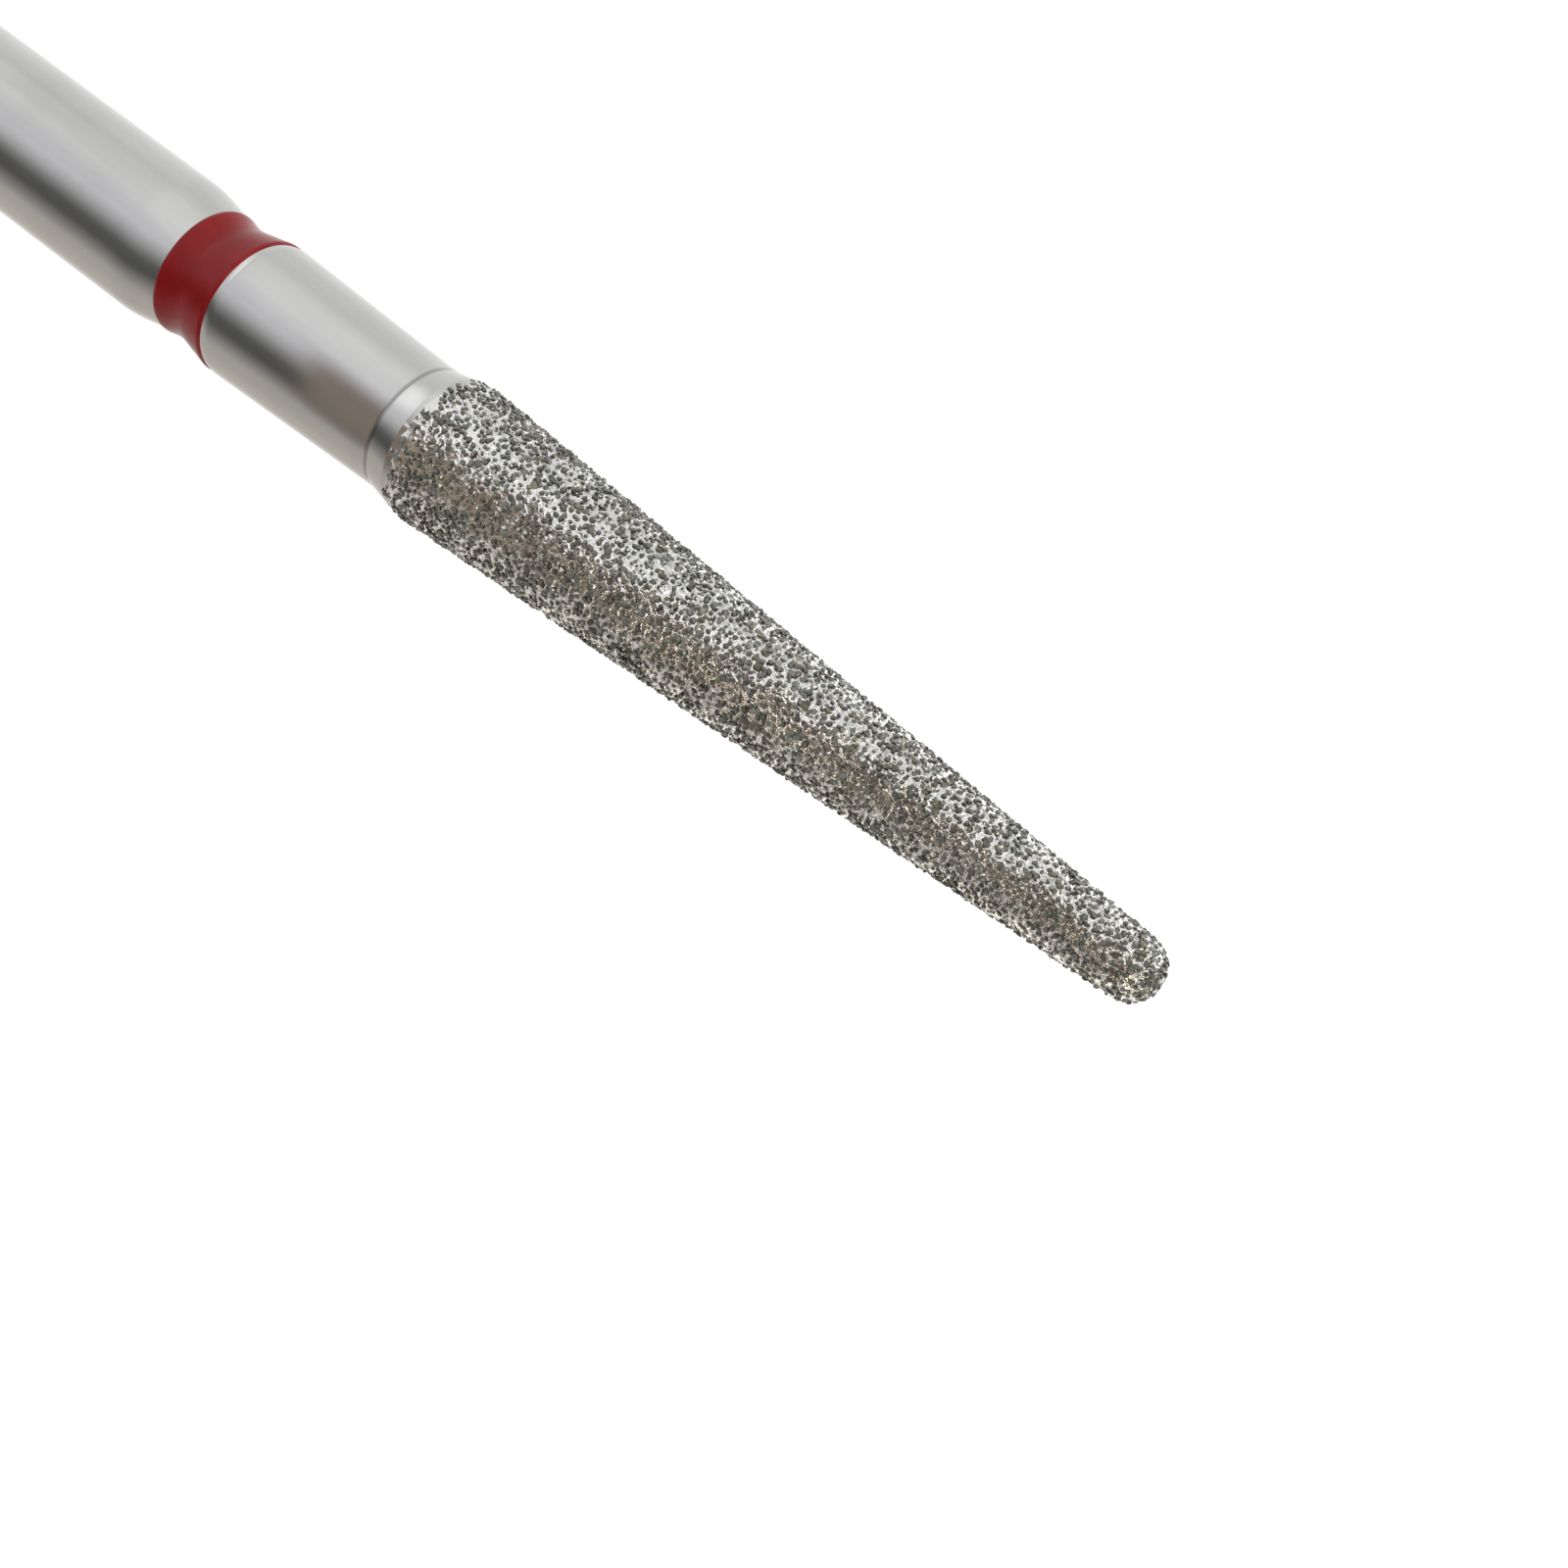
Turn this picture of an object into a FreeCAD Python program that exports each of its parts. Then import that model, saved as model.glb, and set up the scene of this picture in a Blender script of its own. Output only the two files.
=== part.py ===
import FreeCAD, Part
import math
import os
import Sketcher
from enum import IntEnum

# Diamond bur for a straight handpiece. Millimetres, +Z from the flat end of the shank to the tip.
# One steel rod is turned to a straight shank, a waist, a tapering neck and a long tapered head.
# A layer of nickel and diamond grit covers the head, and a band of red lacquer lies in the waist.

# Driving sizes

sizes = [
    ("shank_diameter", 2.35, "standard shank for a straight handpiece"),
    ("shank_length", 29.95, "from the flat end to the corner at the waist"),
    ("end_chamfer", 0.25, "on the flat end of the shank"),
    ("waist_depth", 0.205, "below the shank's surface, before it is rounded"),
    ("shoulder_length", 1.02, "along the axis, from the shank to the waist's bottom"),
    ("shoulder_rounding", 2.6, "where the shank turns into the waist"),
    ("waist_rounding", 0.9, "in the waist's bottom"),
    ("collar_length", 0.89, "along the axis, from the waist's bottom to the neck"),
    ("collar_step", 0.027, "how far the neck begins below the shank's surface"),
    ("collar_rounding", 0.6, "where the waist turns into the neck"),
    ("neck_length", 3.49, "from the collar to the crease behind the head"),
    ("crease_step", 0.139, "how far the crease lies below the head's widest point"),
    ("crease_rounding", 0.3, "in the crease"),
    ("flare_length", 0.45, "bare steel from the crease to the grit"),
    ("head_length", 14.0, "from the widest point to the tip"),
    ("head_diameter", 2.394, "over the grit at the widest point"),
    ("head_rounding", 0.4, "over the grit at the widest point"),
    ("tip_radius", 0.52, "round end, over the grit"),
    ("coat_thickness", 0.06, "nickel with its grit"),
    ("coat_run", 0.2, "from the widest point back to the rear edge of the grit"),
    ("coat_edge", 0.02, "thickness of the layer at its rear edge"),
    ("band_thickness", 0.025, "red lacquer"),
    ("band_below", 0.4, "lacquer from the waist's bottom towards the shank"),
    ("band_above", 0.79, "lacquer from the waist's bottom towards the neck"),
]


class Length:
    """A length as a number, to draw with, and as a formula, to bind a dimension to the sheet."""

    def __init__(self, number, formula):
        self.number = number
        self.formula = formula

    def __add__(self, other):
        return Length(self.number + other.number, f"({self.formula} + {other.formula})")

    def __sub__(self, other):
        return Length(self.number - other.number, f"({self.formula} - {other.formula})")

    def __mul__(self, other):
        return Length(self.number * other.number, f"({self.formula} * {other.formula})")

    def __truediv__(self, other):
        return Length(self.number / other.number, f"({self.formula} / {other.formula})")


def write_sheet():
    """Puts each driving size in a cell with its name, and returns the sizes as lengths."""
    sheet = doc.addObject("Spreadsheet::Sheet", "Sizes")
    lengths = {}
    for row, (name, value, note) in enumerate(sizes, start=1):
        sheet.set(f"A{row}", name)
        sheet.set(f"B{row}", str(value))
        sheet.setAlias(f"B{row}", name)
        sheet.set(f"C{row}", note)
        lengths[name] = Length(value, f"Sizes.{name}")
    return lengths


doc = FreeCAD.newDocument("dental_bur")
size = write_sheet()
doc.recompute()

# Heights above the flat end of the shank

shoulder_height = size["shank_length"]
waist_height = shoulder_height + size["shoulder_length"]
collar_height = waist_height + size["collar_length"]
crease_height = collar_height + size["neck_length"]
core_height = crease_height + size["flare_length"]
head_height = core_height + size["coat_run"]
tip_centre_height = head_height + size["head_length"] - size["tip_radius"]

# Radii

two = Length(2, "2")
shank_radius = size["shank_diameter"] / two
waist_radius = shank_radius - size["waist_depth"]
collar_radius = shank_radius - size["collar_step"]
head_radius = size["head_diameter"] / two
crease_radius = head_radius - size["crease_step"]
core_tip_radius = size["tip_radius"] - size["coat_thickness"]


def head_taper():
    """Angle between the axis and the head's side, which leaves the widest point and touches the round tip."""
    rise = tip_centre_height - head_height
    reach = math.hypot(head_radius.number, rise.number)
    number = math.acos(size["tip_radius"].number / reach) - math.atan(rise.number / head_radius.number)
    reach_formula = f"sqrt({head_radius.formula}^2 + {rise.formula}^2)"
    touch = f"acos({size['tip_radius'].formula} / {reach_formula})"
    return Length(number, f"({touch} - atan({rise.formula} / {head_radius.formula}))")


def core_corner_radius():
    """Radius of the steel where the grit begins: its side runs along under the head's, to its own tip."""
    taper = head_taper()
    widening = Length(math.tan(taper.number), f"tan({taper.formula})")
    lean = Length(math.cos(taper.number), f"cos({taper.formula})")
    return core_tip_radius / lean + (tip_centre_height - core_height) * widening


core_radius = core_corner_radius()

# Sketches: X is the radius and Y is the height above the flat end


class Axis(IntEnum):
    """How a sketch numbers its own axes."""

    radius = -1
    height = -2


class Point(IntEnum):
    """How a sketch numbers the points of a line or an arc."""

    start = 1
    end = 2
    centre = 3


origin = (Axis.radius, Point.start)


def new_body(name):
    body = doc.addObject("PartDesign::Body", name)
    body.Label = name
    return body


def new_sketch(body, name):
    """A sketch on the body's own XZ plane, which holds the axis of the bur."""
    sketch = body.newObject("Sketcher::SketchObject", name)
    plane = next(item for item in body.Origin.OriginFeatures if item.Role == "XZ_Plane")
    sketch.AttachmentSupport = [(plane, "")]
    sketch.MapMode = "FlatFace"
    return sketch


def bind(sketch, kind, points, length, name):
    """Adds a named dimension and ties it to the sheet."""
    index = sketch.addConstraint(Sketcher.Constraint(kind, *points, length.number))
    sketch.renameConstraint(index, name)
    sketch.setExpression(f"Constraints.{name}", length.formula)


def place(sketch, line, point, corner):
    """Fixes a point of the sketch at a corner. No radius means on the axis, and no height on the flat end."""
    name, radius, height = corner
    if radius:
        bind(sketch, "DistanceX", (*origin, line, point), radius, f"{name}_radius")
    else:
        sketch.addConstraint(Sketcher.Constraint("PointOnObject", line, point, Axis.height))
    if height:
        bind(sketch, "DistanceY", (*origin, line, point), height, f"{name}_height")
    else:
        sketch.addConstraint(Sketcher.Constraint("PointOnObject", line, point, Axis.radius))


def vector(corner):
    _, radius, height = corner
    return FreeCAD.Vector(radius.number if radius else 0, height.number if height else 0, 0)


def draw_corners(sketch, corners):
    """Joins the corners with lines and fixes each corner. Returns the last line."""
    for line, (corner, next_corner) in enumerate(zip(corners, corners[1:])):
        sketch.addGeometry(Part.LineSegment(vector(corner), vector(next_corner)), False)
        if line:
            sketch.addConstraint(Sketcher.Constraint("Coincident", line - 1, Point.end, line, Point.start))
        place(sketch, line, Point.start, corner)
    place(sketch, line, Point.end, corners[-1])
    return line


def close_down_axis(sketch, last):
    """Closes the outline with a line down the axis, from the end of its last line or arc."""
    points = sketch.getPoint(last, Point.end), sketch.getPoint(0, Point.start)
    axis = sketch.addGeometry(Part.LineSegment(*points), False)
    sketch.addConstraint(Sketcher.Constraint("Coincident", last, Point.end, axis, Point.start))
    sketch.addConstraint(Sketcher.Constraint("Coincident", axis, Point.end, 0, Point.start))


def draw_head(sketch, last, corner, tip_radius):
    """Draws the head's tapered side from a corner to a round tip, and closes the outline."""
    lean = head_taper().number
    tip_centre = FreeCAD.Vector(0, tip_centre_height.number, 0)
    touch = tip_centre + FreeCAD.Vector(math.cos(lean), math.sin(lean), 0) * tip_radius.number
    side = sketch.addGeometry(Part.LineSegment(vector(corner), touch), False)
    circle = Part.Circle(tip_centre, FreeCAD.Vector(0, 0, 1), tip_radius.number)
    tip = sketch.addGeometry(Part.ArcOfCircle(circle, lean, math.pi / 2), False)
    sketch.addConstraint(Sketcher.Constraint("Coincident", last, Point.end, side, Point.start))
    sketch.addConstraint(Sketcher.Constraint("Tangent", side, Point.end, tip, Point.start))
    sketch.addConstraint(Sketcher.Constraint("PointOnObject", tip, Point.end, Axis.height))
    place(sketch, tip, Point.centre, ("tip_centre", None, tip_centre_height))
    bind(sketch, "Radius", (tip,), tip_radius, "tip_radius")
    close_down_axis(sketch, tip)


# Features


def turn(body, sketch, name):
    """Turns an outline all the way round the bur's axis."""
    feature = body.newObject("PartDesign::Revolution", name)
    feature.Profile = sketch
    feature.ReferenceAxis = (sketch, ["V_Axis"])
    feature.Angle = 360
    doc.recompute()


def edge_at(shape, corner):
    """Name of the round edge that lies nearest to a corner of the outline."""
    _, radius, height = corner
    wanted = FreeCAD.Vector(radius.number, 0, height.number if height else 0)
    misses = {}
    for number, edge in enumerate(shape.Edges, start=1):
        if not edge.Degenerated and isinstance(edge.Curve, Part.Circle):
            found = FreeCAD.Vector(edge.Curve.Radius, 0, edge.Curve.Center.z)
            misses[f"Edge{number}"] = found.distanceToPoint(wanted)
    return min(misses, key=misses.get)


def dress(body, kind, corner, amount, name):
    """Rounds or chamfers the body at a corner of its outline."""
    base = body.Tip
    feature = body.newObject(f"PartDesign::{kind}", name)
    feature.Base = (base, [edge_at(base.Shape, corner)])
    feature.setExpression("Radius" if kind == "Fillet" else "Size", amount.formula)
    doc.recompute()


def fit_over(body, blank, name):
    """The layer that a body leaves on the blank once the blank is taken out of it."""
    layer = doc.addObject("Part::Cut", name)
    layer.Label = name
    layer.Base = body
    layer.Tool = blank
    doc.recompute()
    return layer


# Steel blank: shank, waist, neck, flare and the core of the head


def make_steel_blank():
    end_edge = ("end_edge", shank_radius, None)
    shoulder = ("shoulder", shank_radius, shoulder_height)
    waist = ("waist", waist_radius, waist_height)
    collar = ("collar", collar_radius, collar_height)
    crease = ("crease", crease_radius, crease_height)
    core = ("core", core_radius, core_height)

    body = new_body("steel_blank")
    sketch = new_sketch(body, "blank_outline")
    end_centre = ("end_centre", None, None)
    last = draw_corners(sketch, [end_centre, end_edge, shoulder, waist, collar, crease, core])
    draw_head(sketch, last, core, core_tip_radius)
    turn(body, sketch, "turned_blank")

    dress(body, "Fillet", shoulder, size["shoulder_rounding"], "rounded_shoulder")
    dress(body, "Fillet", waist, size["waist_rounding"], "rounded_waist")
    dress(body, "Fillet", collar, size["collar_rounding"], "rounded_collar")
    dress(body, "Fillet", crease, size["crease_rounding"], "rounded_crease")
    dress(body, "Chamfer", end_edge, size["end_chamfer"], "chamfered_end")
    return body


# Diamond coat: over the head's core, thinning out behind its widest point


def make_diamond_coat(blank):
    rear_centre = ("rear_centre", None, core_height)
    rear_edge = ("rear_edge", core_radius + size["coat_edge"], core_height)
    widest = ("widest", head_radius, head_height)

    body = new_body("head_form")
    sketch = new_sketch(body, "head_outline")
    last = draw_corners(sketch, [rear_centre, rear_edge, widest])
    draw_head(sketch, last, widest, size["tip_radius"])
    turn(body, sketch, "turned_head")
    dress(body, "Fillet", widest, size["head_rounding"], "rounded_head")
    return fit_over(body, blank, "diamond_coat")


# Colour band: lacquer of an even thickness that follows both slopes of the waist


def make_colour_band(blank):
    thickness = size["band_thickness"]
    shoulder_slope = size["waist_depth"] / size["shoulder_length"]
    collar_slope = (collar_radius - waist_radius) / size["collar_length"]
    lower_radius = waist_radius + size["band_below"] * shoulder_slope + thickness
    upper_radius = waist_radius + size["band_above"] * collar_slope + thickness
    lower_height = waist_height - size["band_below"]
    upper_height = waist_height + size["band_above"]
    waist = ("waist", waist_radius + thickness, waist_height)

    body = new_body("band_form")
    sketch = new_sketch(body, "band_outline")
    last = draw_corners(sketch, [
        ("lower_centre", None, lower_height),
        ("lower_edge", lower_radius, lower_height),
        waist,
        ("upper_edge", upper_radius, upper_height),
        ("upper_centre", None, upper_height),
    ])
    close_down_axis(sketch, last)
    turn(body, sketch, "turned_band")
    dress(body, "Fillet", waist, size["waist_rounding"] - thickness, "rounded_band")
    return fit_over(body, blank, "colour_band")


steel_blank = make_steel_blank()
diamond_coat = make_diamond_coat(steel_blank)
colour_band = make_colour_band(steel_blank)
doc.recompute()

# Every object has to be sound before a file is written

for item in doc.Objects:
    if "Invalid" in item.State or "Error" in item.State:
        raise RuntimeError(f"{item.Label} failed: {item.State}")

for part in (steel_blank, diamond_coat, colour_band):
    if part.Shape.isNull() or not part.Shape.isValid() or len(part.Shape.Solids) != 1:
        raise RuntimeError(f"{part.Label} is not one sound solid")

os.makedirs("parts", exist_ok=True)
for part in (steel_blank, diamond_coat, colour_band):
    part.Shape.exportStep(f"parts/{part.Label}.step")
    print(f"{part.Label}: {part.Shape.Volume:.4f} mm3")
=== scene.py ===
import bpy
import math
import numpy as np
from mathutils import Matrix, Vector


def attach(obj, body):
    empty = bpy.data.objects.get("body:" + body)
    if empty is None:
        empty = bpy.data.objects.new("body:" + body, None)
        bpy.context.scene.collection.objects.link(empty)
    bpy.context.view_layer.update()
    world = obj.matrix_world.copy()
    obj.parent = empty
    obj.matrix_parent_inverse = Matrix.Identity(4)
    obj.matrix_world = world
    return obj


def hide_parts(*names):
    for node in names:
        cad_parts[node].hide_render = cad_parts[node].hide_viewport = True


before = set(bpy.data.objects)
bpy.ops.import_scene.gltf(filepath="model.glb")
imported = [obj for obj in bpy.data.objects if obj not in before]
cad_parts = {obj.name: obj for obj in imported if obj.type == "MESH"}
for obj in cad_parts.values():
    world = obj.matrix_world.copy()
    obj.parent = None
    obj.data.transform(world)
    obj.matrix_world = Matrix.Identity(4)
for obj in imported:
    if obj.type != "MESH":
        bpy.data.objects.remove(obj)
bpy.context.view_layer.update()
bpy.context.scene.view_settings.view_transform = "Standard"
mm = 0.001


# Shader maths: sums and products on a Wire add Math nodes, and node() adds any other node

class Wire:
    def __init__(self, tree, socket=None):
        self.tree, self.socket = tree, socket

    def node(self, kind, settings=None, inputs=None, out=0):
        made = self.tree.nodes.new("ShaderNode" + kind)
        for name, value in (settings or {}).items():
            if name == "stops":  # pairs of a ramp's position and colour
                ramp = made.color_ramp.elements
                while len(ramp) < len(value):
                    ramp.new(0.5)
                for stop, (position, colour) in zip(ramp, value):
                    stop.position, stop.color = position, (*colour, 1)
            else:
                setattr(made, name, value)
        for name, value in (inputs or {}).items():
            if isinstance(value, Wire):
                self.tree.links.new(value.socket, made.inputs[name])
            else:
                made.inputs[name].default_value = value
        return Wire(self.tree, made.outputs[out])

    def maths(self, operation, *values):
        return self.node("Math", {"operation": operation}, dict(enumerate(values)))

    def __add__(self, other):
        return self.maths("ADD", self, other)

    def __radd__(self, other):
        return self.maths("ADD", other, self)

    def __sub__(self, other):
        return self.maths("SUBTRACT", self, other)

    def __rsub__(self, other):
        return self.maths("SUBTRACT", other, self)

    def __mul__(self, other):
        return self.maths("MULTIPLY", self, other)

    def __rmul__(self, other):
        return self.maths("MULTIPLY", other, self)

    def step(self, low, high):  # smooth step from 0 at low to 1 at high
        return self.node("MapRange", {"interpolation_type": "SMOOTHSTEP"}, {"Value": self, 1: low, 2: high})

    def larger(self, other):
        return self.maths("MAXIMUM", self, other)


def mixColour(factor, first, second):
    wires = [item for item in (factor, first, second) if isinstance(item, Wire)]
    colours = [item if isinstance(item, Wire) else (*item, 1) for item in (first, second)]
    inputs = {0: factor, 6: colours[0], 7: colours[1]}
    return wires[0].node("Mix", {"data_type": "RGBA"}, inputs, out=2)


def newMaterial(name):
    material = bpy.data.materials.new(name)
    material.use_nodes = True
    material.node_tree.nodes.clear()
    return material, Wire(material.node_tree)


def showSurface(wire, surface):
    output = wire.tree.nodes.new("ShaderNodeOutputMaterial")
    wire.tree.links.new(surface.socket, output.inputs["Surface"])


def ownPlace(wire):  # the point that is shaded, in its piece's own space
    return wire.node("TexCoord", out=3)


def fromOrigin(wire):  # its distance from the origin
    return wire.node("VectorMath", {"operation": "LENGTH"}, {0: ownPlace(wire)}, out=1)


def splitPoint(wire, point):  # its x, y and z
    split = wire.node("SeparateXYZ", {}, {"Vector": point}).socket.node
    return [Wire(wire.tree, part) for part in split.outputs]


def scaled(colour, factor):
    return colour.node("VectorMath", {"operation": "SCALE"}, {0: colour, "Scale": factor})


def growing(length, span):  # smooth step from 0 to 1 between the two lengths of span, in mm
    return length.step(*(end * mm for end in span))


def noiseAt(wire, wave, detail, stretch=(1, 1, 1)):  # wave is the noise's wavelength in mm
    scale = tuple(share / (wave * mm) for share in stretch)
    placed = wire.node("Mapping", {}, {"Vector": ownPlace(wire), "Scale": scale})
    return wire.node("TexNoise", {}, {"Vector": placed, "Scale": 1.0, "Detail": detail})


def bumped(height, depth):  # depth in mm
    return height.node("Bump", {}, {"Strength": 1.0, "Distance": depth * mm, "Height": height})


# Lathe work: an outline of radius and height, turned about the bur's axis

def roundedOutline(corners, pitch=0.02):
    # corners are (radius, height, rounding); a rounding replaces its corner by an arc that is
    # tangent to both sides, drawn as points no more than about pitch apart
    points = [np.array(corners[0][:2], float)[None]]
    for before, (radius, height, rounding), after in zip(corners, corners[1:], corners[2:]):
        corner = np.array([radius, height], float)
        back, ahead = (np.array(side[:2]) - corner for side in (before, after))
        back, ahead = back / np.linalg.norm(back), ahead / np.linalg.norm(ahead)
        half = math.acos(np.clip(back @ ahead, -1, 1)) / 2  # half the angle between the sides
        if not rounding:
            points.append(corner[None])
            continue
        middle = back + ahead
        centre = corner + middle / np.linalg.norm(middle) * rounding / math.sin(half)
        reach = rounding / math.tan(half)
        first, last = corner + back * reach - centre, corner + ahead * reach - centre
        turn = math.pi - 2 * half  # the angle that the arc turns through
        count = max(4, int(rounding * turn / pitch) + 1)
        share = np.linspace(0, 1, count)[:, None]
        arc = first * np.sin((1 - share) * turn) + last * np.sin(share * turn)
        points.append(centre + arc / math.sin(turn))
    points.append(np.array(corners[-1][:2], float)[None])
    return np.vstack(points)


def evenOutline(points, pitch):
    # the same outline with more points, so that no two are further apart than pitch
    spans = np.linalg.norm(np.diff(points, axis=0), axis=1)
    counts = np.maximum(1, np.ceil(spans / pitch).astype(int))
    runs = [np.linspace(a, b, n, endpoint=False) for a, b, n in zip(points, points[1:], counts)]
    return np.vstack(runs + [points[-1:]])


def gridFaces(rows, columns):
    # quads between neighbouring rings, closed at the seam, facing outwards when rows run upwards
    row, column = np.meshgrid(np.arange(rows - 1), np.arange(columns), indexing="ij")
    after = (column + 1) % columns
    quads = np.stack([row * columns + column, row * columns + after,
                      (row + 1) * columns + after, (row + 1) * columns + column], -1)
    return quads.reshape(-1, 4)


def addMesh(name, points, faces, material):  # points in mm
    mesh = bpy.data.meshes.new(name)
    mesh.from_pydata((np.asarray(points) * mm).tolist(), [], [list(face) for face in faces])
    mesh.materials.append(material)
    added = bpy.data.objects.new(name, mesh)
    bpy.context.collection.objects.link(added)
    return added


def newPiece(name, points, faces, material, node, smooth=True):
    piece = addMesh(name, points, faces, material)
    piece.data.polygons.foreach_set("use_smooth", np.full(len(faces), smooth))
    piece.data.update()
    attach(piece, "root")
    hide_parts(node)
    return piece


def turned(outline, columns):
    # rings of points: x = r cos a, y = r sin a, z = height
    angle = np.arange(columns) * 2 * np.pi / columns
    radius, height = outline[:, :1], outline[:, 1:]
    rings = np.stack([radius * np.cos(angle), radius * np.sin(angle), height + 0 * angle], -1)
    faces = gridFaces(len(outline), columns).tolist()
    return rings.reshape(-1, 3), faces


def closeEnds(points, faces, columns, bottom, top):
    # a fan of triangles joins the first ring to a point of the axis at the height bottom, and
    # another joins the last ring to one at the height top; None leaves that end open
    here = np.arange(columns)
    after = np.roll(here, -1)
    last = len(points) - columns
    extra = []
    if bottom is not None:
        extra.append([0, 0, bottom])
        faces += [[b, a, len(points)] for a, b in zip(here, after)]
    if top is not None:
        faces += [[last + a, last + b, len(points) + len(extra)] for a, b in zip(here, after)]
        extra.append([0, 0, top])
    return np.vstack([points, extra]) if extra else points, faces


# Camera

view = dict(
    lens=105.75, sensor=36.0,        # mm
    place=(0.881, -58.326, 71.856),  # mm
    lookDown=25.784,                 # degrees below the horizon
    roll=127.242,                    # degrees about the line of sight
    clip=(1.0, 20000.0),             # mm
)


def makeCamera():
    lens = bpy.data.cameras.new("photoCamera")
    lens.lens, lens.sensor_width = view["lens"], view["sensor"]
    lens.clip_start, lens.clip_end = (reach * mm for reach in view["clip"])
    camera = bpy.data.objects.new("photoCamera", lens)
    place = Matrix.Translation([value * mm for value in view["place"]])
    pitch = Matrix.Rotation(math.radians(90 - view["lookDown"]), 4, "X")
    roll = Matrix.Rotation(math.radians(view["roll"]), 4, "Z")
    camera.matrix_world = place @ pitch @ roll
    bpy.context.collection.objects.link(camera)
    bpy.context.scene.camera = camera


makeCamera()
print("camera is in place")


# Stage: white floor, soft lamps, and a tent with a brown card in it that only gloss sees

stage = dict(
    floorSize=6000.0,         # mm
    floorColour=(0.86, 0.86, 0.86),
    floorLift=(0.36, 0.67),   # what the camera sees on top of the floor's own light, near the bur and far
    liftReach=(10.0, 120.0),  # mm: where it starts to grow and is full, so that the shadow stays
    worldLight=0.4,
    lampAim=42.0,             # mm, height of the middle of the head
)

lamps = [  # name, place in mm, size in mm, watts, colour
    ("keyLamp", (-200, -60, 210), 300, 0.54, (1.0, 1.0, 1.0)),
    ("fillLamp", (180, -190, 180), 250, 0.1, (1.0, 0.97, 0.93)),
]

tent = dict(
    # mm: foot is the radius of the hole that the shank stands in, and lift the bottom's height
    radius=30.0, wallTop=52.0, roofTop=84.0, foot=1.3, lift=0.2,
    columns=96, roofRings=9,
    roofTurn=0.49 * math.pi,  # a little less than a quarter turn, which leaves a small hole at the top
    stops=[  # azimuth from the camera's side towards +X, and tone
        (-180, (1.0, 1.0, 1.0)),
        (-84, (0.74, 0.745, 0.735)),
        (-50, (0.80, 0.805, 0.79)),
        (4, (0.75, 0.75, 0.79)),
        (18, (0.53, 0.53, 0.54)),
        (30, (0.28, 0.28, 0.28)),
        (42, (0.12, 0.12, 0.12)),
        (57, (0.10, 0.10, 0.095)),
        (70, (0.25, 0.24, 0.23)),
        (90, (0.50, 0.475, 0.445)),
        (140, (0.62, 0.58, 0.52)),
        (180, (1.0, 1.0, 1.0)),
    ],
    # a lighter patch that the neck and the head see, fading in over these heights in mm
    windowGlow=0.16, windowArc=(-90, -48, -34, 2), windowFrom=(3.0, 18.0),
    # the flat bottom is lighter from this radius on, blurred by this much each way, and the glow
    # fades out over these heights, all in mm
    bottomGlow=0.6, bottomFrom=24.0, bottomBlur=1.0, bottomTop=(0.5, 1.0),
    # patches that the head sees: their size, where they start and how fast, all in mm, then the
    # noise values from light to dark, and how light each of these is
    mottle=15.0, mottleFrom=27.5, mottleRise=3.0, mottleEdge=(0.4, 0.6), mottleTones=(2.15, 0.62),
    # a lighter patch for the head's underside, in degrees and mm
    lowGlow=0.9, lowArc=(48, 68, 150, 175), lowSpan=(23.0, 25.5, 26.5, 31.0),
    # the roof, in degrees above the horizon, as seen from the middle of the tip at this height in mm
    seenFrom=49.5, roofTone=(0.27, 0.26, 0.22), roofFrom=(42, 66),
)

brownCard = dict(
    radius=8.0, bottom=29.55, top=60.0, edge=0.35,  # mm
    arc=(-18, 18, 52, 88),  # degrees, fading in and out
    # degrees that the part seen by the head is turned towards -X, and how many more by the tip,
    # growing between these heights in mm
    headTurn=8, tipTurn=20, tipTurnFrom=(36.0, 54.0),
    tone=(0.27, 0.225, 0.19),  # plain at the foot, which the neck sees, and mottled above it
    paleTone=(0.3, 0.24, 0.185), darkTone=(0.065, 0.053, 0.043),
    # how light these two are by the head's base and by its tip, changing between these heights in mm
    fade=(1.6, 0.75), fadeFrom=(33.0, 50.0),
    # the patches' size, where they start and how fast, all in mm, and the noise values from pale to dark
    mottle=2.2, mottleFrom=31.5, mottleRise=1.5, mottleEdge=(0.35, 0.65),
    # bright sparks: mm apart, and their radii as shares of that
    sparks=2.7, sparkSize=(0.14, 0.2), sparkTone=(6.8, 6.1, 5.2),
    # a golden glow that the tip sees, in mm and degrees
    glowFrom=(54.0, 55.4), glowArc=(16, 32, 64, 82), glowTone=(3.6, 3.1, 2.1),
)


def isSeen(wire):  # 1 for camera, glossy and transmission rays
    path = wire.tree.nodes.new("ShaderNodeLightPath")
    camera, gloss, through = (Wire(wire.tree, path.outputs[name]) for name in
                              ("Is Camera Ray", "Is Glossy Ray", "Is Transmission Ray"))
    return camera.larger(gloss).larger(through)


def makeFloor():
    material, wire = newMaterial("whiteFloor")
    matt = wire.node("BsdfDiffuse", {}, {"Color": (*stage["floorColour"], 1)})
    near, far = stage["floorLift"]
    lift = growing(fromOrigin(wire), stage["liftReach"]) * (far - near) + near
    glow = wire.node("Emission", {}, {"Strength": isSeen(wire) * lift})
    showSurface(wire, wire.node("AddShader", {}, {0: matt, 1: glow}))
    half = stage["floorSize"] / 2
    corners = [(-half, -half, 0), (half, -half, 0), (half, half, 0), (-half, half, 0)]
    floor = addMesh("floor", corners, [(0, 1, 2, 3)], material)


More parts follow.
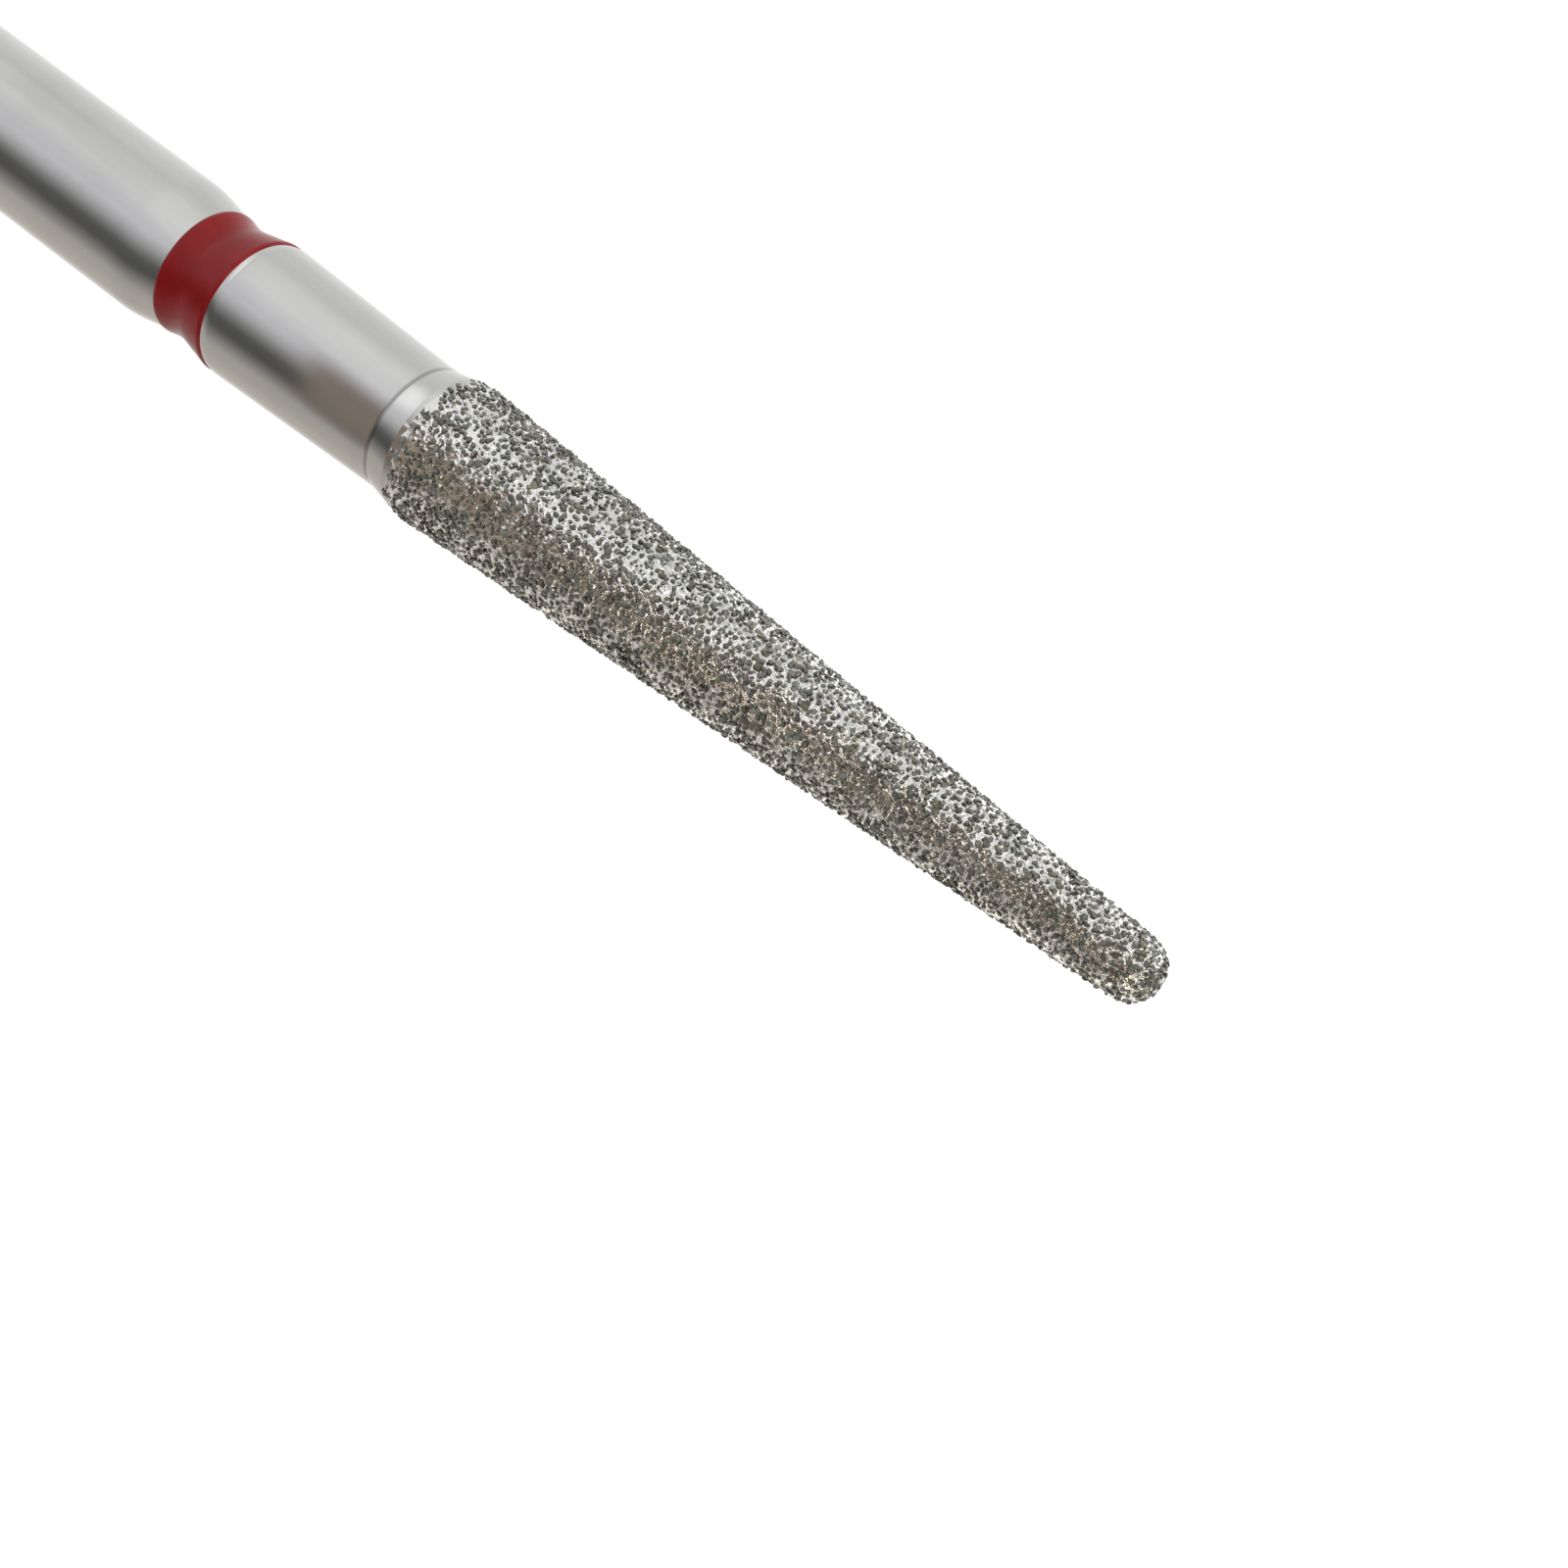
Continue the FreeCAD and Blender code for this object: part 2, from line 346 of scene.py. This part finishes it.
def makeWorld():
    world = bpy.data.worlds.new("whiteRoom")
    world.use_nodes = True
    world.node_tree.nodes.clear()
    wire = Wire(world.node_tree)
    lit = stage["worldLight"]
    strength = isSeen(wire) * (1 - lit) + lit
    light = wire.node("Background", {}, {"Color": (1, 1, 1, 1), "Strength": strength})
    output = world.node_tree.nodes.new("ShaderNodeOutputWorld")
    world.node_tree.links.new(light.socket, output.inputs["Surface"])
    bpy.context.scene.world = world


def makeLamps():
    aim = np.array([0, 0, stage["lampAim"]])
    for name, place, size, watts, colour in lamps:
        data = bpy.data.lights.new(name, "AREA")
        data.size, data.energy, data.color = size * mm, watts, colour
        lamp = bpy.data.objects.new(name, data)
        lamp.location = [value * mm for value in place]
        ray = Vector(aim - np.array(place))
        lamp.rotation_euler = ray.to_track_quat("-Z", "Y").to_euler()
        bpy.context.collection.objects.link(lamp)


def azimuthAndHeight(wire):  # degrees from the camera's side towards +X, and metres
    x, y, z = splitPoint(wire, ownPlace(wire))
    return x.maths("ARCTAN2", x, y * -1.0) * (180 / math.pi), z


def arcMask(value, arc):  # rises over the arc's first two values and falls over its last two
    return value.step(*arc[:2]) * (1 - value.step(*arc[2:]))


def tentMaterial():
    material, wire = newMaterial("tentCloth")
    azimuth, height = azimuthAndHeight(wire)
    stops = [((angle + 180) / 360, colour) for angle, colour in tent["stops"]]
    cloth = wire.node("ValToRGB", {"stops": stops}, {"Fac": azimuth * (1 / 360) + 0.5})
    window = arcMask(azimuth, tent["windowArc"]) * growing(height, tent["windowFrom"])
    flat = 1 - growing(height, tent["bottomTop"])
    start, blur = tent["bottomFrom"], tent["bottomBlur"]
    bottom = flat * growing(fromOrigin(wire), (start - blur, start + blur))
    bottom = bottom * arcMask(azimuth, tent["windowArc"])
    strength = window * tent["windowGlow"] + bottom * tent["bottomGlow"] + 1
    start, rise = tent["mottleFrom"], tent["mottleRise"]
    patch = noiseAt(wire, tent["mottle"], detail=1.0).step(*tent["mottleEdge"])
    light, dark = tent["mottleTones"]
    mottled = patch * (dark - light) + light
    strength = strength * (1 + growing(height, (start, start + rise)) * (mottled - 1))
    lowSpan = [level * mm for level in tent["lowSpan"]]
    lowPatch = arcMask(azimuth, tent["lowArc"]) * arcMask(height, lowSpan)
    strength = strength * (1 + lowPatch * tent["lowGlow"])
    wall = scaled(cloth, strength)
    down = (0, 0, -tent["seenFrom"] * mm)
    ray = wire.node("Mapping", {}, {"Vector": ownPlace(wire), "Location": down})
    ray = wire.node("VectorMath", {"operation": "NORMALIZE"}, {0: ray})
    up = splitPoint(wire, ray)[2]
    start, full = (math.sin(math.radians(angle)) for angle in tent["roofFrom"])
    sky = mixColour(up.step(start, full), wall, tent["roofTone"])
    showSurface(wire, wire.node("Emission", {}, {"Color": sky}))
    return material


def cardMaterial():
    material, wire = newMaterial("brownCloth")
    azimuth, height = azimuthAndHeight(wire)
    card = brownCard
    above = growing(height, (card["mottleFrom"], card["mottleFrom"] + card["mottleRise"]))
    turn = above * card["headTurn"] + growing(height, card["tipTurnFrom"]) * card["tipTurn"]
    foot = growing(height, (card["bottom"], card["bottom"] + card["edge"]))
    mask = arcMask(azimuth + turn, card["arc"]) * foot
    tipGlow = growing(height, card["glowFrom"]) * arcMask(azimuth, card["glowArc"])
    mottle = noiseAt(wire, card["mottle"], detail=3.0).step(*card["mottleEdge"])
    patches = mixColour(mottle, card["paleTone"], card["darkTone"])
    base, tip = card["fade"]
    patches = scaled(patches, growing(height, card["fadeFrom"]) * (tip - base) + base)
    colour = mixColour(above, card["tone"], patches)
    gap = wire.node("TexVoronoi", {}, {"Vector": ownPlace(wire), "Scale": 1 / (card["sparks"] * mm)})
    spark = (1 - gap.step(*card["sparkSize"])) * above
    colour = mixColour(spark, colour, card["sparkTone"])
    glow = wire.node("Emission", {}, {"Color": mixColour(tipGlow, colour, card["glowTone"])})
    clear = wire.node("BsdfTransparent")
    showSurface(wire, wire.node("MixShader", {}, {0: mask.larger(tipGlow), 1: clear, 2: glow}))
    return material


def makeGlossCloth(name, profile, material):
    # a round cloth about the bur, from rings of radius and height, that only gloss sees
    rings, faces = turned(np.array(profile, float), tent["columns"])
    cloth = addMesh(name, rings, faces, material)
    cloth.visible_camera = cloth.visible_diffuse = cloth.visible_shadow = False
    cloth.visible_transmission = False


def makeCloths():
    far, high, lift = tent["radius"], tent["wallTop"], tent["lift"]
    angle = np.linspace(0, tent["roofTurn"], tent["roofRings"])  # the roof is a quarter of an ellipse
    roof = zip(far * np.cos(angle), high + (tent["roofTop"] - high) * np.sin(angle))
    makeGlossCloth("lightTent", [(tent["foot"], lift), (far, lift), *roof], tentMaterial())
    near = brownCard["radius"]
    makeGlossCloth("brownCard", [(near, brownCard["bottom"]), (near, brownCard["top"])], cardMaterial())


makeFloor()
makeWorld()
makeLamps()
makeCloths()
print("stage is lit")


# Steel blank

blank = dict(  # mm
    shank=1.175, chamfer=0.25,
    shoulderAt=29.95, waistAt=30.97, collarAt=31.86, creaseAt=35.35, coreAt=35.8,
    waist=0.97, collar=1.148, crease=1.058, core=1.147, coreEnd=0.47,
    shoulderRound=2.6, waistRound=0.9, collarRound=0.6, creaseRound=0.3,
    coreEndAt=49.4, corePoint=0.3,  # where the core's side ends, and the height of its blunt point
    columns=160, pitch=0.25, edgeRound=0.04,
    creaseShadeLine=0.07,  # half the width of the dark line painted in the crease as shade, standing in for the corner's dark reflection
)

steelFinish = dict(
    # toneEdge: the noise values between which the first tone turns into the second
    tones=((0.61, 0.61, 0.605), (0.69, 0.685, 0.675)), toneEdge=(0.3, 0.75),
    streakShare=0.6, cloudShare=0.4,                # how far each sets the tone
    rough=0.07, streakRough=0.07, cloudRough=0.05,  # at least, and added by each
    marks=0.03, streaks=0.25, clouds=1.6,           # mm: size of each
    markDepth=0.00018,                              # mm
    # painted shade in the crease: the colour of its dark line, and how far it darkens the steel
    creaseShadeTone=(0.2, 0.175, 0.15), creaseShadeShare=0.6,
)


def steelMaterial():
    finish = steelFinish
    material, wire = newMaterial("polishedSteel")
    # turning marks run round the rod, and faint wiping marks along it
    marks = noiseAt(wire, finish["marks"], detail=3.0, stretch=(0.02, 0.02, 1))
    streaks = noiseAt(wire, finish["streaks"], detail=4.0, stretch=(1, 1, 0.03))
    clouds = noiseAt(wire, finish["clouds"], detail=3.0)
    rough = finish["rough"] + streaks * finish["streakRough"] + clouds * finish["cloudRough"]
    tone = streaks * finish["streakShare"] + clouds * finish["cloudShare"]
    colour = mixColour(tone.step(*finish["toneEdge"]), *finish["tones"])
    # painted shade: a dark line along the crease, where the concave corner would reflect dark
    height = splitPoint(wire, ownPlace(wire))[2]
    line, half = blank["creaseAt"] * mm, blank["creaseShadeLine"] * mm
    crease = arcMask(height, (line - half, line, line, line + half))
    colour = mixColour(crease * finish["creaseShadeShare"], colour, finish["creaseShadeTone"])
    shader = wire.node("BsdfPrincipled", {}, {
        "Base Color": colour, "Metallic": 1.0, "Roughness": rough,
        "Normal": bumped(marks, finish["markDepth"])})
    showSurface(wire, shader)
    return material


def makeBlank():
    part = blank
    outline = roundedOutline([
        (part["shank"] - part["chamfer"], 0, 0),
        (part["shank"], part["chamfer"], part["edgeRound"]),
        (part["shank"], part["shoulderAt"], part["shoulderRound"]),
        (part["waist"], part["waistAt"], part["waistRound"]),
        (part["collar"], part["collarAt"], part["collarRound"]),
        (part["crease"], part["creaseAt"], part["creaseRound"]),
        (part["core"], part["coreAt"], part["edgeRound"]),
        (part["coreEnd"], part["coreEndAt"], 0),
    ])
    columns = part["columns"]
    points, faces = turned(evenOutline(outline, part["pitch"]), columns)
    points, faces = closeEnds(points, faces, columns, 0, part["coreEndAt"] + part["corePoint"])
    newPiece("steel_rod", points, faces, steelMaterial(), "steel_blank")


makeBlank()
print("steel blank is turned")


# Lacquer band in the waist

band = dict(  # mm
    below=0.4, above=0.79, thickness=0.025, feather=0.05,
    dip=0.01,  # how far the outline's ends lie under the steel
    edgeRound=0.1, columns=160, pitch=0.03,
)

lacquerFinish = dict(
    tones=((0.285, 0.0065, 0.008), (0.225, 0.004, 0.005)), toneEdge=(0.3, 0.75),
    clouds=0.5, ripple=0.18,     # mm: size of each
    rippleDepth=0.003,           # mm
    rough=0.14, rippleRough=0.1, ior=1.35,
)


def lacquerMaterial():
    finish = lacquerFinish
    material, wire = newMaterial("redLacquer")
    clouds = noiseAt(wire, finish["clouds"], detail=3.0)
    ripple = noiseAt(wire, finish["ripple"], detail=2.0)
    shader = wire.node("BsdfPrincipled", {}, {
        "Base Color": mixColour(clouds.step(*finish["toneEdge"]), *finish["tones"]),
        "Roughness": finish["rough"] + ripple * finish["rippleRough"],
        "Normal": bumped(ripple, finish["rippleDepth"]), "IOR": finish["ior"]})
    showSurface(wire, shader)
    return material


def makeBand():
    part, rod = band, blank
    low, high = rod["waistAt"] - part["below"], rod["waistAt"] + part["above"]
    lowSlope = (rod["shank"] - rod["waist"]) / (rod["waistAt"] - rod["shoulderAt"])
    highSlope = (rod["collar"] - rod["waist"]) / (rod["collarAt"] - rod["waistAt"])
    waist = rod["waist"] + part["thickness"]
    lowEdge, highEdge = waist + part["below"] * lowSlope, waist + part["above"] * highSlope
    sink = part["thickness"] + part["dip"]
    outline = roundedOutline([
        (lowEdge - sink, low, 0),
        (lowEdge, low + part["feather"], part["edgeRound"]),
        (waist, rod["waistAt"], rod["waistRound"] - part["thickness"]),
        (highEdge, high - part["feather"], part["edgeRound"]),
        (highEdge - sink, high, 0),
    ])
    points, faces = turned(evenOutline(outline, part["pitch"]), part["columns"])
    newPiece("lacquer_band", points, faces, lacquerMaterial(), "colour_band")


makeBand()
print("lacquer band is laid")


# Head: its outer form, and the grit on it. Places on its outline are lengths from its rear edge

head = dict(  # mm
    rear=1.167, rearAt=35.8, widest=1.197, widestAt=36.0, tipRadius=0.52, tipAt=50.0,
    widestRound=0.4, pitch=0.01, tipPoints=40, seed=11,
)

grit = dict(
    # mm: spacing, radius of a grain, and height that the tops reach on the outer form before wear
    coarse=dict(spacing=0.109, size=(0.04, 0.08), top=(-0.01, 0.02)),
    fine=dict(spacing=0.15, size=(0.022, 0.042), top=(-0.028, -0.004)),
    jitter=0.7, missing=0.012,   # share of the spacing, and share of the places left empty
    smallPower=1.2,              # above 1, small grains outnumber large ones
    sink=0.95,                   # depth of a grain's middle below that top, as a share of its radius
    clusters=(0.55, 0.16),       # mm across, and share by which grains in them are larger
    bareEdge=(0.0, 0.2),         # mm: from none at the rear edge to all
    flatTop=0.8,                 # height of a grain's worn top, as a share of its radius
    corners=(0.76, 1.14),        # distance of a crystal's corners, as a share of its radius
    stretch=(0.74, 1.16),        # how far it is stretched along each of its three axes
    darkPower=1.5,               # above 1, dark grains outnumber pale ones
    clusterTone=0.25,            # how much paler or darker the clusters are
    # painted light: a facet that faces outwards is painted pale, as if lit; how far it faces outwards where
    # that starts, and how much more makes it full
    litFrom=0.35, litRise=0.45,
    leastLit=0.25,               # how pale the darkest of those are, as a share of the palest
    glints=0.035,                # share of the facets painted as bright glints
)

nickel = dict(
    level=-0.045, climb=0.015, reach=0.011,  # mm
    fineClimb=0.6,                     # share of that climb at a fine grain
    grainSide=0.85,                    # where the metal meets a grain, as a share of its radius
    underDepth=0.02, underReach=0.02,  # mm: how much lower it is under a coarse grain, and how far in
    waves=((0.5, 0.012), (0.2, 0.006), (0.085, 0.005)),  # mm: length and height of each
    # mm: the length over which it thins out to the rear edge, and how deep it lies there
    thinReach=0.12, rearDepth=0.035,
    poleGap=0.004,                     # mm that the last ring stays off the pole
    columns=390, rows=890, pieces=4,
)


def softNoise(point, wavelength, rng, count=24):
    # a sum of plane waves in random directions, 0.7 to 1.6 of the given wavelength; about -1 to 1
    way = rng.normal(size=(count, 3))
    way /= np.linalg.norm(way, axis=1)[:, None]
    pace = 2 * np.pi / (wavelength * rng.uniform(0.7, 1.6, count))
    start = rng.uniform(0, 2 * np.pi, count)
    return np.sin(point @ (way * pace[:, None]).T + start).sum(-1) / math.sqrt(count / 2) / 2


def metalSwell(point):  # the nickel's own rise and fall, apart from its grains
    rng = np.random.default_rng(head["seed"] + 1)
    return sum(height * softNoise(point, length, rng) for length, height in nickel["waves"])


def headOutline():
    # side of the head from its rear edge, tangent to the round tip, and the tip's arc to the pole
    centre = head["tipAt"] - head["tipRadius"]
    rise = centre - head["widestAt"]
    reach = math.hypot(head["widest"], rise)
    lean = math.acos(head["tipRadius"] / reach) - math.atan(rise / head["widest"])
    touch = (head["tipRadius"] * math.cos(lean), centre + head["tipRadius"] * math.sin(lean))
    side = roundedOutline([
        (head["rear"], head["rearAt"], 0),
        (head["widest"], head["widestAt"], head["widestRound"]),
        (*touch, 0),
    ])
    angle = np.linspace(lean, math.pi / 2, head["tipPoints"])[1:, None]
    arc = np.hstack([head["tipRadius"] * np.cos(angle), centre + head["tipRadius"] * np.sin(angle)])
    return evenOutline(np.vstack([side, arc]), head["pitch"])


fineOutline = headOutline()
fineLength = np.concatenate([[0], np.cumsum(np.linalg.norm(np.diff(fineOutline, axis=0), axis=1))])
fineSlope = np.gradient(fineOutline, fineLength, axis=0)


def onHead(along, angle):
    # point (r cos a, r sin a, z) of the head's outer form, where r and z are read at a length along
    # its outline, and the outward normal, which is the outline's slope turned by a quarter
    radius, height = (np.interp(along, fineLength, fineOutline[:, k]) for k in (0, 1))
    across, up = (np.interp(along, fineLength, fineSlope[:, k]) for k in (0, 1))
    size = np.hypot(across, up)
    out, rise = up / size, -across / size
    point = np.stack([radius * np.cos(angle), radius * np.sin(angle), height + 0 * angle], -1)
    normal = np.stack([out * np.cos(angle), out * np.sin(angle), rise + 0 * angle], -1)
    return point, normal


def scatterGrit(spacing, size, top, rng):
    # rows a spacing apart along the outline, each with as many cells as fit round it,
    # and one grain at a random place in each cell
    rows = int(fineLength[-1] / spacing)
    middle = (np.arange(rows) + 0.5) * fineLength[-1] / rows
    radius = np.interp(middle, fineLength, fineOutline[:, 0])
    counts = np.maximum(3, np.round(2 * np.pi * radius / spacing).astype(int))
    starts = np.concatenate([[0], np.cumsum(counts)])
    row = np.repeat(np.arange(rows), counts)
    cell = np.arange(starts[-1]) - starts[row]
    shake = (rng.random((len(row), 2)) - 0.5) * grit["jitter"]
    along = middle[row] + shake[:, 0] * spacing
    angle = (cell + 0.5 + 0.5 * (row % 2) + shake[:, 1]) * 2 * np.pi / counts[row]
    point, normal = onHead(along, angle)
    wide, growth = grit["clusters"]
    sizes = size[0] + (size[1] - size[0]) * rng.random(len(row)) ** grit["smallPower"]
    sizes *= 1 + growth * softNoise(point, wide, np.random.default_rng(head["seed"] + 2))
    start, full = grit["bareEdge"]
    missing = np.maximum(grit["missing"], 1 - (along - start) / (full - start))
    sizes[rng.random(len(row)) < missing] = 0
    lift = rng.uniform(*top, len(row)) - sizes * grit["sink"]
    return dict(rows=rows, counts=counts, starts=starts, point=point, normal=normal, size=sizes, lift=lift)


dice = np.random.default_rng(head["seed"])
coarseGrit = scatterGrit(**grit["coarse"], rng=dice)
fineGrit = scatterGrit(**grit["fine"], rng=dice)
fineGrit["lift"] += metalSwell(fineGrit["point"])
print("grit is scattered:", *(int((lot["size"] > 0).sum()) for lot in (coarseGrit, fineGrit)), "grains")


# Nickel: the metal between the grains, which climbs a little against each of them

def nearGrains(lot, along, angle, point):
    # for the nine cells around each point, exp(-gap / reach), where gap is the distance to the
    # grain's side, and how deep the point lies inside the grain; the largest of them count
    home = np.clip((along * lot["rows"] / fineLength[-1]).astype(int), 0, lot["rows"] - 1)
    climb, inside = np.zeros(len(point)), np.zeros(len(point))
    for rowStep in (-1, 0, 1):
        row = np.clip(home + rowStep, 0, lot["rows"] - 1)
        count = lot["counts"][row]
        place = (angle * count / (2 * np.pi) - 0.5 * (row % 2)).astype(int)
        for cellStep in (-1, 0, 1):
            grain = lot["starts"][row] + (place + cellStep) % count
            size = lot["size"][grain]
            away = np.linalg.norm(point - lot["point"][grain], axis=1) - size * nickel["grainSide"]
            rise = np.exp(-np.maximum(away, 0) / nickel["reach"])
            depth = np.clip(-away / nickel["underReach"], 0, 1)
            climb = np.maximum(climb, np.where(size > 0, rise, 0))
            inside = np.maximum(inside, np.where(size > 0, depth, 0))
    return climb, inside


def nickelHeight(along, angle, point):
    # the level of the metal, higher against the grains and lower under them, with long soft waves
    coarse, fine = (nearGrains(lot, along, angle, point) for lot in (coarseGrit, fineGrit))
    climb = np.maximum(coarse[0], nickel["fineClimb"] * fine[0])
    under = nickel["underDepth"] * coarse[1]
    return nickel["level"] + nickel["climb"] * climb - under + metalSwell(point)


nickelFinish = dict(
    tones=((0.86, 0.86, 0.84), (0.76, 0.755, 0.72)), toneEdge=(0.3, 0.7),
    ripple=0.06, patches=0.35,   # mm: size of each
    rippleDepth=0.006,           # mm
    rough=0.07, rippleRough=0.12,
)


def nickelMaterial():
    finish = nickelFinish
    material, wire = newMaterial("nickelPlate")
    ripple = noiseAt(wire, finish["ripple"], detail=3.0)
    patches = noiseAt(wire, finish["patches"], detail=2.0)
    shader = wire.node("BsdfPrincipled", {}, {
        "Base Color": mixColour(patches.step(*finish["toneEdge"]), *finish["tones"]),
        "Metallic": 1.0, "Roughness": finish["rough"] + ripple * finish["rippleRough"],
        "Normal": bumped(ripple, finish["rippleDepth"])})
    showSurface(wire, shader)
    return material


def makeNickel():
    # the head's outer form moved along its normals: point + normal * height of the metal
    part = nickel
    columns, rows = part["columns"], part["rows"]
    share = np.linspace(0, 1, rows)
    along = share * (fineLength[-1] - part["poleGap"])
    angle = np.arange(columns) * 2 * np.pi / columns
    allAlong, allAngle = (grid.ravel() for grid in np.meshgrid(along, angle, indexing="ij"))
    point, normal = onHead(allAlong, allAngle)
    height = nickelHeight(allAlong, allAngle, point)
    edge = np.clip(allAlong / part["thinReach"], 0, 1)
    height = height * edge - part["rearDepth"] * (1 - edge)
    point = (point + normal * height[:, None]).reshape(rows, columns, 3)
    material = nickelMaterial()
    bounds = np.linspace(0, rows - 1, part["pieces"] + 1).astype(int)
    for number, (first, last) in enumerate(zip(bounds, bounds[1:]), start=1):
        rings = point[first:last + 1].reshape(-1, 3)
        faces = gridFaces(last + 1 - first, columns).tolist()
        if last == rows - 1:
            rings, faces = closeEnds(rings, faces, columns, None, float(point[-1, :, 2].mean()))
        newPiece(f"nickel_plate_{number}", rings, faces, material, "diamond_coat")


makeNickel()
print("nickel is plated")


# Diamond grains: crystals of twenty flat faces, each turned and stretched its own way

def ballTemplate():  # twelve corners and twenty faces of an icosahedron
    golden = (1 + math.sqrt(5)) / 2
    corners = [(0, a, b * golden) for a in (-1, 1) for b in (-1, 1)]
    corners = np.array([np.roll(corner, turn) for turn in range(3) for corner in corners], float)
    corners /= np.linalg.norm(corners[0])
    side = np.linalg.norm(corners[:, None] - corners[None], axis=-1)
    near = (side > 0.1) & (side < 1.2)  # neighbours are 1.05 apart, and all others 1.7 or more
    faces = [(a, b, c) for a in range(12) for b in range(a + 1, 12) for c in range(b + 1, 12)
             if near[a, b] and near[b, c] and near[a, c]]
    outward = [np.linalg.det(corners[list(face)]) > 0 for face in faces]
    return corners, np.array([face if out else face[::-1] for face, out in zip(faces, outward)])


diamondFinish = dict(
    # brown, grey, greenish grey and yellow grains, with a dark and a pale tone of each; painted light turns
    # outward facets pale
    hues=(0.0, 0.25, 0.6, 1.0),
    darkTones=((0.034, 0.021, 0.013), (0.029, 0.027, 0.022), (0.028, 0.030, 0.023), (0.039, 0.038, 0.019)),
    paleTones=((0.28, 0.22, 0.165), (0.3, 0.29, 0.265), (0.285, 0.295, 0.26), (0.33, 0.325, 0.215)),
    # painted glints: the bright colours of a few facets, warm and white
    flashTones=((0.95, 0.89, 0.77), (0.95, 0.95, 0.93)),
    facetLightPale=0.42, grainPale=0.7,  # how pale the painted light makes a facet at most, and how much its grain's tone adds
    veil=0.03, veilPale=0.12,       # mm: size of the haze, and how pale it can be
    rough=0.07, veilRough=0.1, ior=1.75,
)


def diamondMaterial():
    finish = diamondFinish
    material, wire = newMaterial("diamondGrain")
    tone, hue, facet, glint = (wire.node("Attribute", {"attribute_name": name}, out=2)
                               for name in ("grainTone", "grainHue", "facetTone", "facetGlint"))
    veil = noiseAt(wire, finish["veil"], detail=2.0)
    ramps = [list(zip(finish["hues"], finish[tones])) for tones in ("darkTones", "paleTones")]
    dark, pale = (wire.node("ValToRGB", {"stops": stops}, {"Fac": hue}) for stops in ramps)
    # painted light on outward facets, stronger on paler grains, plus the haze
    paintedLightAndHaze = facet * (tone * finish["grainPale"] + finish["facetLightPale"]) + veil * finish["veilPale"]
    body = mixColour(paintedLightAndHaze, dark, pale)
    # painted glints take the place of the body colour on their facets
    colour = mixColour(glint, body, mixColour(hue, *finish["flashTones"]))
    shader = wire.node("BsdfPrincipled", {}, {
        "Base Color": colour, "Roughness": finish["rough"] + veil * finish["veilRough"],
        "IOR": finish["ior"]})
    showSurface(wire, shader)
    return material


def makeGrains(name, lot, material, rng):
    # each grain is the template times a random distance for each corner, stretched, turned, cut
    # flat at its top, made as large as its size and moved to its point
    keep = lot["size"] > 0
    size, lift, normal = (lot[key][keep] for key in ("size", "lift", "normal"))
    point = lot["point"][keep] + normal * lift[:, None]
    corners, faces = ballTemplate()
    count = len(size)
    shape = corners[None] * rng.uniform(*grit["corners"], (count, len(corners), 1))
    shape = shape * rng.uniform(*grit["stretch"], (count, 1, 3))
    turn, _ = np.linalg.qr(rng.normal(size=(count, 3, 3)))
    turn *= np.sign(np.linalg.det(turn))[:, None, None]  # no mirrored crystal
    shape = np.einsum("nij,nkj->nki", turn, shape)
    above = np.einsum("nkj,nj->nk", shape, normal) - grit["flatTop"]
    shape = shape - np.maximum(above, 0)[..., None] * normal[:, None]
    first, second, third = (shape[:, faces[:, k]] for k in range(3))
    facing = np.cross(second - first, third - first)
    facing /= np.linalg.norm(facing, axis=-1, keepdims=True)
    outward = np.einsum("nfk,nk->nf", facing, normal)  # 1 where a facet faces outwards
    shape = shape * size[:, None, None] + point[:, None]
    allFaces = faces[None] + (np.arange(count) * len(corners))[:, None, None]
    piece = newPiece(name, shape.reshape(-1, 3), allFaces.reshape(-1, 3), material,
                     "diamond_coat", smooth=False)
    cluster = softNoise(point, grit["clusters"][0], np.random.default_rng(head["seed"] + 3))
    tone = rng.random(count) ** grit["darkPower"] + grit["clusterTone"] * cluster
    hue = rng.random(count)
    # painted light: facets that face outwards are paler, as if lit and seen into, and side facets stay dark
    lit = np.clip((outward - grit["litFrom"]) / grit["litRise"], 0, 1)
    lit = lit * rng.uniform(grit["leastLit"], 1, lit.shape)
    # painted glints: a few facets picked at random to be painted bright
    glint = rng.random(lit.size) < grit["glints"]
    shades = dict(
        grainTone=np.repeat(tone, len(faces)), grainHue=np.repeat(hue, len(faces)),
        facetTone=lit.ravel(), facetGlint=glint,
    )
    for label, values in shades.items():
        layer = piece.data.attributes.new(label, "FLOAT", "FACE")
        layer.data.foreach_set("value", values.astype(np.float32))


diamond = diamondMaterial()
makeGrains("coarse_grains", coarseGrit, diamond, dice)
makeGrains("fine_grains", fineGrit, diamond, dice)
print("diamond grains are set")
